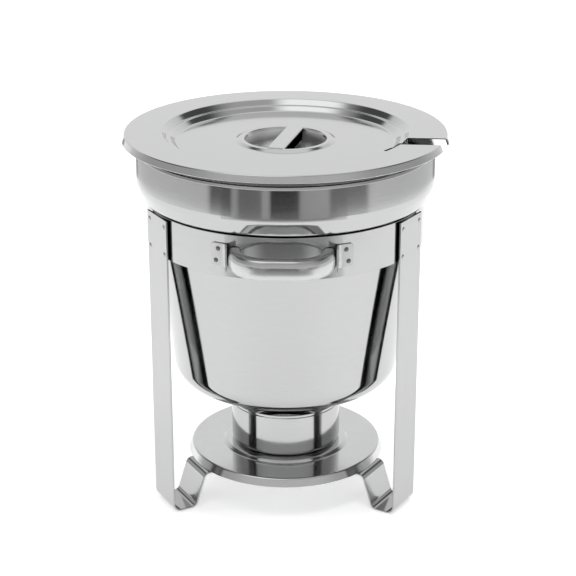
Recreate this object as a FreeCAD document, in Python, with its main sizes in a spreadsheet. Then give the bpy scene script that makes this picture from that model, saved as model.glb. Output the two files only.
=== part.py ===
"""Three-legged soup kettle: lid, food inset, water pan and a strap stand with a fuel tray.

Millimetres, +Z up, origin on the floor under the middle. The front handle faces -Y.
Each sub-part is drawn about its own +X direction where it is radial, and its Placement turns it.
"""
import FreeCAD, Part
import math
import os
import Sketcher

doc = FreeCAD.newDocument("soup_kettle")
sheet = doc.addObject("Spreadsheet::Sheet", "Dims")

# Driving dimensions: alias, value in millimetres or degrees, meaning.
DIMENSIONS = [
    ("gauge", 1.0, "sheet thickness of the lid, inset, pan, tray and cup"),
    ("lid_radius", 155.0, "outer edge of the lid's flat flange"),
    ("lid_top", 370.0, "top of the lid's flange above the floor"),
    ("lip_flare", 2.5, "how far the lip leans outwards"),
    ("lip_drop", 7.0, "height of the lip"),
    ("recess_radius", 119.3, "inner edge of the flat flange"),
    ("ledge_radius", 114.3, "outer edge of the ledge that sits on the inset"),
    ("ledge_inner", 111.0, "inner edge of that ledge"),
    ("ledge_drop", 5.3, "ledge below the flange"),
    ("panel_radius", 105.8, "flat panel of the lid"),
    ("panel_drop", 10.0, "panel below the flange"),
    ("bead_radius", 44.5, "outer edge of the crest round the finger dish"),
    ("bead_rise", 2.0, "height of that crest"),
    ("bead_reach", 4.0, "width of the slope outside that crest"),
    ("dish_radius", 40.0, "edge of the finger dish"),
    ("dish_floor", 33.5, "radius of the dish's floor"),
    ("dish_depth", 14.0, "dish below the panel"),
    ("notch_start", 96.5, "inner end of the ladle notch along X"),
    ("notch_far", 27.0, "far edge of the notch in front of the middle"),
    ("notch_near", 50.5, "near edge of the notch at its inner end"),
    ("notch_corner", 3.5, "how far the corners of its inner end are cut off"),
    ("notch_slant", 3.0, "how far both edges drift forwards from inner end to lip"),
    ("strap_width", 17.0, "width of the strap handle in the dish"),
    ("strap_skirt", 10.5, "depth of the strap's side skirts"),
    ("strap_heading", -12.3, "turn of the strap away from the Y axis"),
    ("inset_flange", 117.5, "outer edge of the inset's hemmed flange"),
    ("mouth_radius", 108.0, "inside of the inset's mouth"),
    ("inset_top", 363.4, "top of the inset's flange above the floor"),
    ("inset_foot", 100.0, "inside of the inset at its floor"),
    ("inset_floor", 166.0, "top of the inset's floor above the ground"),
    ("rim_mouth", 111.5, "edge of the mouth in the water pan's top"),
    ("rim_top", 360.4, "top of the water pan above the floor"),
    ("bulge_radius", 144.2, "inside of the pan's shoulder"),
    ("bulge_low", 323.0, "lower end of the straight part of the shoulder"),
    ("waist_radius", 138.6, "inside of the pan where the shoulder turns under"),
    ("waist_height", 309.2, "height of that turn"),
    ("seat_radius", 134.2, "inside of the step by which the pan sits on the band"),
    ("seat_drop", 2.0, "height of that step"),
    ("tub_radius", 131.4, "inside of the pan's tub below the step"),
    ("tub_foot", 109.0, "inside of the tub where wall and floor meet"),
    ("tub_floor", 116.0, "top of the pan's floor above the ground"),
    ("band_radius", 136.0, "outside of the stand's band"),
    ("band_gauge", 1.6, "thickness of the band"),
    ("band_top", 305.9, "top of the band above the floor"),
    ("band_height", 40.9, "height of the band"),
    ("leg_width", 42.0, "width of the leg straps"),
    ("leg_gauge", 2.0, "thickness of the leg straps"),
    ("leg_top", 304.6, "top of the leg straps"),
    ("foot_length", 24.2, "run of the foot between strap middles"),
    ("riser_top", 102.0, "radius where the riser turns inwards"),
    ("riser_height", 34.2, "height of that turn, strap middle"),
    ("tab_end", 72.0, "inner end of the tab under the tray"),
    ("leg_rivet_side", 16.0, "leg rivets to the middle of the strap"),
    ("leg_rivet_high", 297.5, "upper leg rivets"),
    ("leg_rivet_low", 270.5, "lower leg rivets"),
    ("rivet_shank", 1.5, "radius of every rivet's shank"),
    ("rivet_head", 2.4, "radius of every rivet's head"),
    ("rivet_rise", 0.9, "height of every rivet's head"),
    ("tray_edge", 99.0, "outer edge of the tray's skirt"),
    ("tray_edge_height", 35.7, "lower edge of the skirt"),
    ("tray_crown", 95.5, "radius where the tray turns down into its skirt"),
    ("tray_top", 43.6, "top of the tray's flat ring"),
    ("platform_edge", 64.0, "outer edge of the tray's raised platform"),
    ("platform_radius", 60.5, "flat of the raised platform"),
    ("platform_rise", 3.0, "platform above the flat ring"),
    ("cup_radius", 55.5, "outside of the fuel holder"),
    ("cup_height", 45.5, "height of the fuel holder"),
    ("cup_corner", 5.0, "inside radius at the fuel holder's floor"),
    ("grip_reach", 163.0, "middle of the grip's front bar from the middle"),
    ("grip_half", 12.0, "half length of the straight front bar"),
    ("grip_bend", 31.5, "bend radius of the grip"),
    ("grip_root", 131.0, "where the grip's ends stop"),
    ("grip_thick", 12.0, "grip section, radial"),
    ("grip_tall", 20.0, "grip section, upright"),
    ("grip_round", 5.0, "corner radius of the grip section"),
    ("grip_wall", 1.2, "wall of the hollow grip"),
    ("grip_height", 285.0, "middle of the grip above the floor"),
    ("lug_gauge", 1.5, "thickness of the lug plates"),
    ("lug_reach", 141.5, "outer end of the lug's web"),
    ("lug_tall", 22.5, "height of the lugs"),
    ("lug_angle", 28.4, "outer end of the lug from the handle's middle, degrees"),
    ("lug_rivet_angle", 25.6, "lug rivets from the handle's middle, degrees"),
    ("lug_rivet_gap", 11.4, "distance between a lug's two rivets"),
    ("lug_rivet_lean", 0.5, "how far the lower rivet is turned outwards and the upper inwards"),
    ("lug_lift", 1.0, "middle of the lugs above the middle of the grip"),
    ("lug_bend", 4.0, "bend radius between a lug's ear and its web"),
    ("lug_corner", 4.0, "rounding of the ear's outer corners"),
]

sheet.set("A1", "alias")
sheet.set("B1", "value")
sheet.set("C1", "meaning")
for row, (alias, value, meaning) in enumerate(DIMENSIONS, start=2):
    sheet.set(f"A{row}", alias)
    sheet.set(f"B{row}", str(value))
    sheet.setAlias(f"B{row}", alias)
    sheet.set(f"C{row}", meaning)
doc.recompute()

ALIASES = sorted((alias for alias, _, _ in DIMENSIONS), key=len, reverse=True)
LEG_ANGLES = {"left_leg": 210.0, "right_leg": 330.0, "rear_leg": 90.0}
HANDLE_ANGLES = {"front": 270.0, "rear": 90.0}


def bound(expression):
    """The expression as other objects write it, with the sheet's name before each alias."""
    words = expression.replace("(", "( ").replace(")", " )").split()
    return " ".join("Dims." + word if word in ALIASES else word for word in words)


def size(expression):
    """The expression's value now."""
    return float(sheet.evalExpression(bound(expression).replace("Dims.", "")))


def turned(angle):
    """A placement turned about +Z by an angle in degrees."""
    return FreeCAD.Placement(FreeCAD.Vector(), FreeCAD.Rotation(FreeCAD.Vector(0, 0, 1), angle))


def new_body(label, angle=0.0):
    body = doc.addObject("PartDesign::Body", label)
    body.Label = label
    body.Placement = turned(angle)
    return body


def new_sketch(body, name, role):
    """A sketch on one of the body's own origin planes."""
    sketch = body.newObject("Sketcher::SketchObject", name)
    plane = next(item for item in body.Origin.OriginFeatures if item.Role == role)
    sketch.AttachmentSupport = [(plane, "")]
    sketch.MapMode = "FlatFace"
    return sketch


def pin_point(sketch, geometry, end, across, up):
    """Ties a point of the sketch to two expressions, or to an axis where one is 0."""
    for kind, axis, expression in (("DistanceX", -2, across), ("DistanceY", -1, up)):
        if expression == "0":
            sketch.addConstraint(Sketcher.Constraint("PointOnObject", geometry, end, axis))
            continue
        index = sketch.addConstraint(
            Sketcher.Constraint(kind, -1, 1, geometry, end, size(expression)))
        sketch.setExpression(f"Constraints[{index}]", bound(expression))


def polygon(sketch, corners):
    """Adds a closed outline whose corners are pairs of expressions."""
    first = sketch.GeometryCount
    points = [FreeCAD.Vector(size(across), size(up), 0) for across, up in corners]
    count = len(points)
    for index in range(count):
        sketch.addGeometry(Part.LineSegment(points[index], points[(index + 1) % count]))
    for index in range(count):
        after = first + (index + 1) % count
        sketch.addConstraint(Sketcher.Constraint("Coincident", first + index, 2, after, 1))
    for index, (across, up) in enumerate(corners):
        pin_point(sketch, first + index, 1, across, up)


def strip_corners(path, gauge, near, far):
    """Corners of a sheet of that gauge along a path, mitred at its bends.

    near and far are the two faces' offsets to the left of the path, in gauges.
    """
    points = [(size(across), size(up)) for across, up, _ in path]
    sides = ([], [])
    for index, (x, y) in enumerate(points):
        normals = []
        for start, stop in ((index - 1, index), (index, index + 1)):
            if 0 <= start and stop < len(points):
                dx, dy = points[stop][0] - points[start][0], points[stop][1] - points[start][1]
                length = math.hypot(dx, dy)
                normals.append((-dy / length, dx / length))
        nx, ny = (sum(part) for part in zip(*normals))
        scale = len(normals) / (nx * nx + ny * ny)
        across, up = path[index][0], path[index][1]
        for side, offset in zip(sides, (near, far)):
            shift_x, shift_y = nx * scale * offset, ny * scale * offset
            side.append((shifted(across, shift_x, gauge), shifted(up, shift_y, gauge)))
    return sides


def shifted(expression, amount, gauge):
    """The expression moved by an amount of gauges, or as it is where it doesn't move."""
    if abs(amount) < 1e-6:
        return expression
    if expression == "0":
        return "0"
    return f"( {expression} ) + ( {amount:.5f} ) * {gauge}"


def bend_radii(path, gauge, near, far):
    """Radius of each bend on the near and the far face, from the bend radius on its inner side."""
    radii = []
    for index in range(1, len(path) - 1):
        bend = path[index][2]
        if bend == 0:
            continue
        before = [size(path[index][axis]) - size(path[index - 1][axis]) for axis in (0, 1)]
        after = [size(path[index + 1][axis]) - size(path[index][axis]) for axis in (0, 1)]
        left_turn = before[0] * after[1] - before[1] * after[0] > 0
        outer = bend + size(gauge) * abs(far - near)
        near_radius, far_radius = (outer, bend) if left_turn else (bend, outer)
        if far < near:
            near_radius, far_radius = far_radius, near_radius
        radii.append((index, near_radius, far_radius))
    return radii


def round_bends(body, feature, wanted):
    """Fillets the edges that pass through the wanted (across, up, radius) corners, size by size."""
    for radius in sorted({item[2] for item in wanted}):
        doc.recompute()
        names = []
        for across, up, _ in (item for item in wanted if item[2] == radius):
            for number, edge in enumerate(feature.Shape.Edges, start=1):
                if passes_through(edge, across, up):
                    names.append(f"Edge{number}")
        fillet = body.newObject("PartDesign::Fillet", f"{body.Label}_bends")
        fillet.Base = (feature, names)
        fillet.Radius = radius
        feature = fillet
    doc.recompute()
    return feature


def passes_through(edge, across, up):
    """True for a ring about Z of that radius and height, or a line along Y at that place."""
    if isinstance(edge.Curve, Part.Circle):
        ring = edge.Curve
        return (abs(ring.Radius - across) < 1e-3 and abs(ring.Center.z - up) < 1e-3
                and math.hypot(ring.Center.x, ring.Center.y) < 1e-3)
    ends = [vertex.Point for vertex in edge.Vertexes]
    return len(ends) == 2 and all(
        abs(point.x - across) < 1e-3 and abs(point.z - up) < 1e-3 for point in ends)


def sheet_outline(sketch, path, gauge, near, far):
    """Draws the strip and returns the bends to round as (across, up, radius)."""
    near_side, far_side = strip_corners(path, gauge, near, far)
    corners = near_side + far_side[::-1]
    polygon(sketch, corners)
    wanted = []
    for index, near_radius, far_radius in bend_radii(path, gauge, near, far):
        for side, radius in ((near_side, near_radius), (far_side, far_radius)):
            across, up = side[index]
            wanted.append((size(across), size(up), round(radius, 4)))
    return wanted


def spun_sheet(label, path, near=0, far=1):
    """A sheet metal shell spun about Z from the path of one of its faces."""
    body = new_body(label)
    sketch = new_sketch(body, f"{label}_profile", "XZ_Plane")
    wanted = sheet_outline(sketch, path, "gauge", near, far)
    spin = body.newObject("PartDesign::Revolution", f"{label}_spin")
    spin.Profile = sketch
    spin.ReferenceAxis = (sketch, ["V_Axis"])
    spin.Angle = 360
    return body, round_bends(body, spin, wanted)


def pocket(body, name, sketch, reverse):
    """Cuts a sketch right through the body on one side, and makes sure that it cut something."""
    before = body.Shape.Volume
    cut = body.newObject("PartDesign::Pocket", name)
    cut.Profile = sketch
    cut.Type = "ThroughAll"
    cut.Reversed = reverse
    doc.recompute()
    if cut.Shape.Volume > before - 0.1:
        raise ValueError(f"{name} cut nothing")
    return cut


def circle(sketch, across, up, radius):
    """A circle whose centre and radius are expressions."""
    centre = FreeCAD.Vector(size(across), size(up), 0)
    index = sketch.addGeometry(Part.Circle(centre, FreeCAD.Vector(0, 0, 1), size(radius)))
    pin_point(sketch, index, 3, across, up)
    constraint = sketch.addConstraint(Sketcher.Constraint("Radius", index, size(radius)))
    sketch.setExpression(f"Constraints[{constraint}]", bound(radius))


def primitive(kind, name, placement, **expressions):
    """A Part primitive whose sizes are bound to the sheet."""
    shape = doc.addObject(kind, name)
    for prop, expression in expressions.items():
        shape.setExpression(prop, bound(expression))
    shape.Placement = placement
    return shape


def grouped(kind, label, members):
    """A compound or fusion of document objects."""
    group = doc.addObject(kind, label)
    group.Label = label
    if kind == "Part::Compound":
        group.Links = members
    else:
        group.Shapes = members
    return group


# Lid: flange with a flared lip, a recess with a ledge, and a finger dish in a bead.
def make_lid():
    path = [
        ("lid_radius + lip_flare", "lid_top - lip_drop", 0),
        ("lid_radius", "lid_top", 1.0),
        ("recess_radius", "lid_top", 1.2),
        ("ledge_radius", "lid_top - ledge_drop", 0.8),
        ("ledge_inner", "lid_top - ledge_drop", 0.8),
        ("panel_radius", "lid_top - panel_drop", 3.0),
        ("bead_radius + bead_reach", "lid_top - panel_drop", 2.0),
        ("bead_radius", "lid_top - panel_drop + bead_rise", 2.0),
        ("dish_radius", "lid_top - panel_drop + bead_rise", 0.8),
        ("dish_floor", "lid_top - panel_drop - dish_depth", 7.0),
        ("0", "lid_top - panel_drop - dish_depth", 0),
    ]
    body, _ = spun_sheet("lid_shell", path)
    notch = new_sketch(body, "lid_notch_outline", "XY_Plane")
    polygon(notch, [
        ("notch_start", "-1 * notch_far - notch_corner"),
        ("notch_start + notch_corner", "-1 * notch_far"),
        ("lid_radius + 10", "-1 * notch_far - notch_slant"),
        ("lid_radius + 10", "-1 * notch_near - notch_slant"),
        ("notch_start + notch_corner", "-1 * notch_near"),
        ("notch_start", "-1 * notch_near + notch_corner"),
    ])
    pocket(body, "lid_notch", notch, True)
    return body


# Strap handle: an inverted channel across the dish, its skirts trimmed to the dish's wall.
def make_strap():
    body = new_body("lid_strap_handle", size("strap_heading"))
    top = "lid_top - panel_drop + bead_rise"
    section = new_sketch(body, "strap_section", "XZ_Plane")
    outer, inner = "strap_width / 2", "strap_width / 2 - gauge"
    polygon(section, [
        (f"-1 * ( {outer} )", f"{top} + gauge"),
        (f"-1 * ( {outer} )", f"{top} - strap_skirt"),
        (f"-1 * ( {inner} )", f"{top} - strap_skirt"),
        (f"-1 * ( {inner} )", top),
        (inner, top),
        (inner, f"{top} - strap_skirt"),
        (outer, f"{top} - strap_skirt"),
        (outer, f"{top} + gauge"),
    ])
    pad = body.newObject("PartDesign::Pad", "strap_pad")
    pad.Profile = section
    pad.Midplane = True
    pad.setExpression("Length", bound("2 * dish_radius + 4"))
    doc.recompute()
    trim = new_sketch(body, "strap_trim", "YZ_Plane")
    low = f"{top} - strap_skirt - 1"
    for side in ("", "-1 * "):
        corners = [
            (f"{side}( dish_radius - 6.5 )", low),
            (f"{side}( dish_radius - 1.9 )", f"{top} - 1.2"),
            (f"{side}( dish_radius - 1.9 )", top),
            (f"{side}( bead_radius + 8 )", top),
            (f"{side}( bead_radius + 8 )", low),
        ]
        polygon(trim, corners)
    before = body.Shape.Volume
    cut = body.newObject("PartDesign::Pocket", "strap_ends")
    cut.Profile = trim
    cut.Type = "ThroughAll"
    cut.Midplane = True
    doc.recompute()
    if cut.Shape.Volume > before - 1:
        raise ValueError("strap_ends cut nothing")
    return body


# Inset: the food pan, hung by its hemmed flange on the water pan's top.
def make_inset():
    path = [
        ("inset_flange", "rim_top + 0.3", 0),
        ("inset_flange", "inset_top", 0.6),
        ("mouth_radius", "inset_top", 5.0),
        ("inset_foot", "inset_floor", 14.0),
        ("0", "inset_floor", 0),
    ]
    return spun_sheet("inset_pan", path)[0]


# Water pan: flat top with a mouth, rounded shoulder, and a tapered tub that hangs in the stand.
def make_water_pan():
    path = [
        ("rim_mouth", "rim_top - gauge", 0),
        ("bulge_radius", "rim_top - gauge", 7.0),
        ("bulge_radius", "bulge_low", 18.0),
        ("waist_radius", "waist_height", 2.6),
        ("seat_radius", "waist_height", 0.35),
        ("seat_radius", "waist_height - seat_drop", 0.35),
        ("tub_radius", "waist_height - seat_drop", 0.8),
        ("tub_foot", "tub_floor", 25.0),
        ("0", "tub_floor", 0),
    ]
    return spun_sheet("water_pan", path)[0]


# Stand: a band riveted to three bent strap legs that carry the tray on their tabs.
def rivet_placements(angle):
    """Placements along a strap's four rivet axes, on the band's middle, pointing outwards."""
    places = []
    for side in (-1, 1):
        for height in ("leg_rivet_high", "leg_rivet_low"):
            place = FreeCAD.Placement(
                FreeCAD.Vector(0, side * size("leg_rivet_side"), size(height)),
                FreeCAD.Rotation(FreeCAD.Vector(0, 1, 0), 90))
            places.append(turned(angle).multiply(place))
    return places


def lug_placements(angle, side):
    """Placements along the axes of a lug's two rivets; side is -1 or 1 from the handle's middle."""
    places = []
    for level in (-1, 1):
        height = size(f"grip_height + lug_lift + ( {level} ) * lug_rivet_gap / 2")
        place = FreeCAD.Placement(
            FreeCAD.Vector(0, 0, height), FreeCAD.Rotation(FreeCAD.Vector(0, 1, 0), 90))
        turn = side * (size("lug_rivet_angle") - level * size("lug_rivet_lean"))
        places.append(turned(angle + turn).multiply(place))
    return places


def handle_placements(angle):
    """Placements along all four rivet axes of a handle."""
    return lug_placements(angle, -1) + lug_placements(angle, 1)


def make_band():
    ring = new_body("band_blank")
    profile = new_sketch(ring, "band_profile", "XZ_Plane")
    polygon(profile, [
        ("band_radius - band_gauge", "band_top - band_height"),
        ("band_radius", "band_top - band_height"),
        ("band_radius", "band_top"),
        ("band_radius - band_gauge", "band_top"),
    ])
    spin = ring.newObject("PartDesign::Revolution", "band_spin")
    spin.Profile = profile
    spin.ReferenceAxis = (profile, ["V_Axis"])
    spin.Angle = 360
    places = [place for angle in LEG_ANGLES.values() for place in rivet_placements(angle)]
    places += [place for angle in HANDLE_ANGLES.values() for place in handle_placements(angle)]
    drills = [
        primitive("Part::Cylinder", f"band_drill_{number}", place,
                  Radius="rivet_shank", Height="band_radius + 20")
        for number, place in enumerate(places)
    ]
    band = doc.addObject("Part::Cut", "stand_band")
    band.Label = "stand_band"
    band.Base = ring
    band.Tool = grouped("Part::Compound", "band_drills", drills)
    return band


def make_leg(label, angle):
    body = new_body(label, angle)
    middle = "band_radius + leg_gauge / 2 + 0.2"
    floor = "leg_gauge / 2"
    path = [
        (middle, "leg_top", 0),
        (middle, floor, 7.0),
        (f"{middle} - foot_length", floor, 6.0),
        ("riser_top", "riser_height", 5.0),
        ("tab_end", "riser_height", 0),
    ]
    profile = new_sketch(body, f"{label}_profile", "XZ_Plane")
    wanted = sheet_outline(profile, path, "leg_gauge", -0.5, 0.5)
    pad = body.newObject("PartDesign::Pad", f"{label}_pad")
    pad.Profile = profile
    pad.Midplane = True
    pad.setExpression("Length", bound("leg_width"))
    round_bends(body, pad, wanted)
    holes = new_sketch(body, f"{label}_rivet_holes", "YZ_Plane")
    for side in ("", "-1 * "):
        for height in ("leg_rivet_high", "leg_rivet_low"):
            circle(holes, f"{side}leg_rivet_side", height, "rivet_shank")
    pocket(body, f"{label}_band_holes", holes, True)
    return body


def make_rivets(label, places, start, stop):
    """Rivets along the given axes: shank between start and stop, with a head at each end."""
    rivets = []
    inwards = FreeCAD.Placement(FreeCAD.Vector(), FreeCAD.Rotation(FreeCAD.Vector(1, 0, 0), 180))
    for number, place in enumerate(places):
        shank = primitive(
            "Part::Cylinder", f"{label}_shank_{number}", place.multiply(along(start)),
            Radius="rivet_shank", Height=f"( {stop} ) - ( {start} )")
        head = primitive(
            "Part::Cone", f"{label}_head_{number}", place.multiply(along(stop)),
            Radius1="rivet_head", Radius2="rivet_head - 0.8", Height="rivet_rise")
        tail = primitive(
            "Part::Cone", f"{label}_tail_{number}", place.multiply(along(start)).multiply(inwards),
            Radius1="rivet_head", Radius2="rivet_head - 0.8", Height="rivet_rise")
        rivets.append(grouped("Part::MultiFuse", f"{label}_{number}", [shank, head, tail]))
    return grouped("Part::Compound", label, rivets)


def along(expression):
    return FreeCAD.Placement(FreeCAD.Vector(0, 0, size(expression)), FreeCAD.Rotation())


# Tray: a shallow domed plate with a skirt and a raised platform for the fuel holder.
def make_tray():
    path = [
        ("tray_edge", "tray_edge_height", 0),
        ("tray_crown", "tray_top", 1.6),
        ("platform_edge", "tray_top", 1.5),
        ("platform_radius", "tray_top + platform_rise", 1.5),
        ("0", "tray_top + platform_rise", 0),
    ]
    return spun_sheet("burner_tray", path)[0]


# Fuel holder: an open cup that stands loose on the platform.
def make_cup():
    path = [
        ("cup_radius", "tray_top + platform_rise + cup_height", 0),
        ("cup_radius", "tray_top + platform_rise", 5.0),
        ("0", "tray_top + platform_rise", 0),
    ]
    return spun_sheet("fuel_holder", path, 0, -1)[0]


# Handles: a hollow bent grip between two lugs riveted to the band.
def make_grip(label, angle):
    body = new_body(label, angle)
    spine = new_sketch(body, f"{label}_spine", "XY_Plane")
    reach, half, bend, root = (
        size(word) for word in ("grip_reach", "grip_half", "grip_bend", "grip_root"))
    corner, side = reach - bend, half + bend
    point = FreeCAD.Vector
    spine.addGeometry(Part.LineSegment(point(root, -side, 0), point(corner, -side, 0)))
    spine.addGeometry(Part.ArcOfCircle(
        Part.Circle(point(corner, -half, 0), point(0, 0, 1), bend), -math.pi / 2, 0))
    spine.addGeometry(Part.LineSegment(point(reach, -half, 0), point(reach, half, 0)))
    spine.addGeometry(Part.ArcOfCircle(
        Part.Circle(point(corner, half, 0), point(0, 0, 1), bend), 0, math.pi / 2))
    spine.addGeometry(Part.LineSegment(point(corner, side, 0), point(root, side, 0)))
    spine.addConstraint([
        Sketcher.Constraint("Tangent", 0, 2, 1, 1),
        Sketcher.Constraint("Tangent", 1, 2, 2, 1),
        Sketcher.Constraint("Tangent", 2, 2, 3, 1),
        Sketcher.Constraint("Tangent", 3, 2, 4, 1),
        Sketcher.Constraint("Horizontal", 0),
        Sketcher.Constraint("Horizontal", 4),
    ])
    for geometry, end, across, up in (
            (0, 1, "grip_root", "-1 * ( grip_half + grip_bend )"),
            (2, 1, "grip_reach", "-1 * grip_half"),
            (4, 2, "grip_root", "grip_half + grip_bend")):
        pin_point(spine, geometry, end, across, up)
    index = spine.addConstraint(
        Sketcher.Constraint("DistanceY", -1, 1, 2, 2, half))
    spine.setExpression(f"Constraints[{index}]", bound("grip_half"))
    spine.AttachmentOffset = FreeCAD.Placement(point(0, 0, size("grip_height")), FreeCAD.Rotation())
    spine.setExpression("AttachmentOffset.Base.z", bound("grip_height"))
    section = new_sketch(body, f"{label}_section", "YZ_Plane")
    section.AttachmentOffset = FreeCAD.Placement(point(0, 0, root), FreeCAD.Rotation())
    section.setExpression("AttachmentOffset.Base.z", bound("grip_root"))
    for inset in ("0", "grip_wall"):
        rounded_box(section, inset)
    pipe = body.newObject("PartDesign::AdditivePipe", f"{label}_bar")
    pipe.Profile = section
    pipe.Spine = (spine, [f"Edge{number}" for number in range(1, 6)])
    return body


def rounded_box(sketch, inset):
    """The grip's section, shrunk by an inset, centred on its left end."""
    wide = (size("grip_thick") - 2 * size(inset)) / 2
    tall = (size("grip_tall") - 2 * size(inset)) / 2
    radius = size("grip_round") - size(inset)
    middle = (-(size("grip_half") + size("grip_bend")), size("grip_height"))
    first = sketch.GeometryCount
    quarters = [(1, 1, 0), (-1, 1, 90), (-1, -1, 180), (1, -1, 270)]
    ends = []
    for sign_x, sign_y, start in quarters:
        centre = FreeCAD.Vector(
            middle[0] + sign_x * (wide - radius), middle[1] + sign_y * (tall - radius), 0)
        arc = Part.ArcOfCircle(
            Part.Circle(centre, FreeCAD.Vector(0, 0, 1), radius),
            math.radians(start), math.radians(start + 90))
        sketch.addGeometry(arc)
        ends.append((arc.StartPoint, arc.EndPoint))
    for number in range(4):
        sketch.addGeometry(Part.LineSegment(ends[number][1], ends[(number + 1) % 4][0]))
    for number in range(4):
        line = first + 4 + number
        sketch.addConstraint(Sketcher.Constraint("Tangent", first + number, 2, line, 1))
        sketch.addConstraint(Sketcher.Constraint("Tangent", line, 2, first + (number + 1) % 4, 1))
    side = "grip_half + grip_bend"
    for geometry, sign_x, sign_y in ((first, 1, 1), (first + 2, -1, -1)):
        across = f"-1 * ( {side} ) + {sign_x} * ( grip_thick / 2 - grip_round )"
        up = f"grip_height + {sign_y} * ( grip_tall / 2 - grip_round )"
        pin_point(sketch, geometry, 3, across, up)
    index = sketch.addConstraint(Sketcher.Constraint("Radius", first, radius))
    sketch.setExpression(f"Constraints[{index}]", bound(f"grip_round - {inset}"))
    sketch.addConstraint(Sketcher.Constraint("Equal", first, first + 2))
    for line, kind in ((first + 4, "Horizontal"), (first + 5, "Vertical")):
        sketch.addConstraint(Sketcher.Constraint(kind, line))


def draw_lug(outline, side):
    """The lug from above: a plate round the band, and a web along the side of the grip's end."""
    inner, gauge = size("band_radius"), size("lug_gauge")
    web = size("grip_half + grip_bend + grip_thick / 2")
    start = math.asin(web / inner)
    outer_start = math.asin((web + gauge) / (inner + gauge))
    stop = math.radians(size("lug_angle"))
    reach = size("lug_reach")
    web_in = FreeCAD.Vector(reach, side * web, 0)
    web_out = FreeCAD.Vector(reach, side * (web + gauge), 0)

    def polar(radius, turn):
        return FreeCAD.Vector(radius * math.cos(turn), side * radius * math.sin(turn), 0)

    def arc(radius, low, high):
        first, last = (low, high) if side > 0 else (-high, -low)
        ring = Part.Circle(FreeCAD.Vector(), FreeCAD.Vector(0, 0, 1), radius)
        return Part.ArcOfCircle(ring, first, last)

    outline.addGeometry([
        arc(inner, start, stop),
        Part.LineSegment(polar(inner, stop), polar(inner + gauge, stop)),
        arc(inner + gauge, outer_start, stop),
        Part.LineSegment(polar(inner + gauge, outer_start), web_out),
        Part.LineSegment(web_out, web_in),
        Part.LineSegment(web_in, polar(inner, start)),
    ])
    low, high = (1, 2) if side > 0 else (2, 1)
    outline.addConstraint([
        Sketcher.Constraint("Coincident", 0, 3, -1, 1),
        Sketcher.Constraint("Coincident", 2, 3, -1, 1),
        Sketcher.Constraint("Coincident", 0, high, 1, 1),
        Sketcher.Constraint("Coincident", 1, 2, 2, high),
        Sketcher.Constraint("Coincident", 2, low, 3, 1),
        Sketcher.Constraint("Coincident", 3, 2, 4, 1),
        Sketcher.Constraint("Coincident", 4, 2, 5, 1),
        Sketcher.Constraint("Coincident", 5, 2, 0, low),
        Sketcher.Constraint("Horizontal", 3),
        Sketcher.Constraint("Horizontal", 5),
        Sketcher.Constraint("Vertical", 4),
    ])
    for geometry, radius in ((0, "band_radius"), (2, "band_radius + lug_gauge")):
        index = outline.addConstraint(Sketcher.Constraint("Radius", geometry, size(radius)))
        outline.setExpression(f"Constraints[{index}]", bound(radius))
    sign = "" if side > 0 else "-1 * "
    web_side = f"{sign}( grip_half + grip_bend + grip_thick / 2 )"
    web_back = f"{sign}( grip_half + grip_bend + grip_thick / 2 + lug_gauge )"
    pin_point(outline, 5, 1, "lug_reach", web_side)
    index = outline.addConstraint(
        Sketcher.Constraint("DistanceY", -1, 1, 4, 1, size(web_back)))
    outline.setExpression(f"Constraints[{index}]", bound(web_back))
    for point_end, radius in ((1, "band_radius"), (2, "band_radius + lug_gauge")):
        index = outline.addConstraint(Sketcher.Constraint(
            "DistanceY", -1, 1, 1, point_end, side * size(radius) * math.sin(stop)))
        outline.setExpression(
            f"Constraints[{index}]", bound(f"{sign}( {radius} ) * sin( lug_angle * 1deg )"))


def ear_bend_edge(shape, offset):
    """The upright edge where ear and web meet, on the face that far out from the band."""
    radius = size(f"band_radius + {offset}")
    web = size(f"grip_half + grip_bend + grip_thick / 2 + {offset}")
    for number, edge in enumerate(shape.Edges, start=1):
        ends = [vertex.Point for vertex in edge.Vertexes]
        if len(ends) != 2 or abs(ends[0].z - ends[1].z) < 1e-3:
            continue
        on_ring = abs(math.hypot(ends[0].x, ends[0].y) - radius) < 1e-3
        if on_ring and abs(abs(ends[0].y) - web) < 1e-3:
            return [f"Edge{number}"]
    raise ValueError("no bend edge on the lug")


def ear_end_edges(shape):
    """The short level edges at the lug's outer end."""
    names = []
    for number, edge in enumerate(shape.Edges, start=1):
        ends = [vertex.Point for vertex in edge.Vertexes]
        if len(ends) != 2 or abs(ends[0].z - ends[1].z) > 1e-3:
            continue
        turns = [math.degrees(math.atan2(abs(end.y), end.x)) for end in ends]
        if all(abs(turn - size("lug_angle")) < 0.01 for turn in turns):
            names.append(f"Edge{number}")
    return names


def add_fillet(body, name, feature, edges, radius):
    """Rounds edges of the body's last feature by an expression."""
    fillet = body.newObject("PartDesign::Fillet", f"{body.Label}_{name}")
    fillet.Base = (feature, edges)
    fillet.setExpression("Radius", bound(radius))
    doc.recompute()
    return fillet


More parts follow.
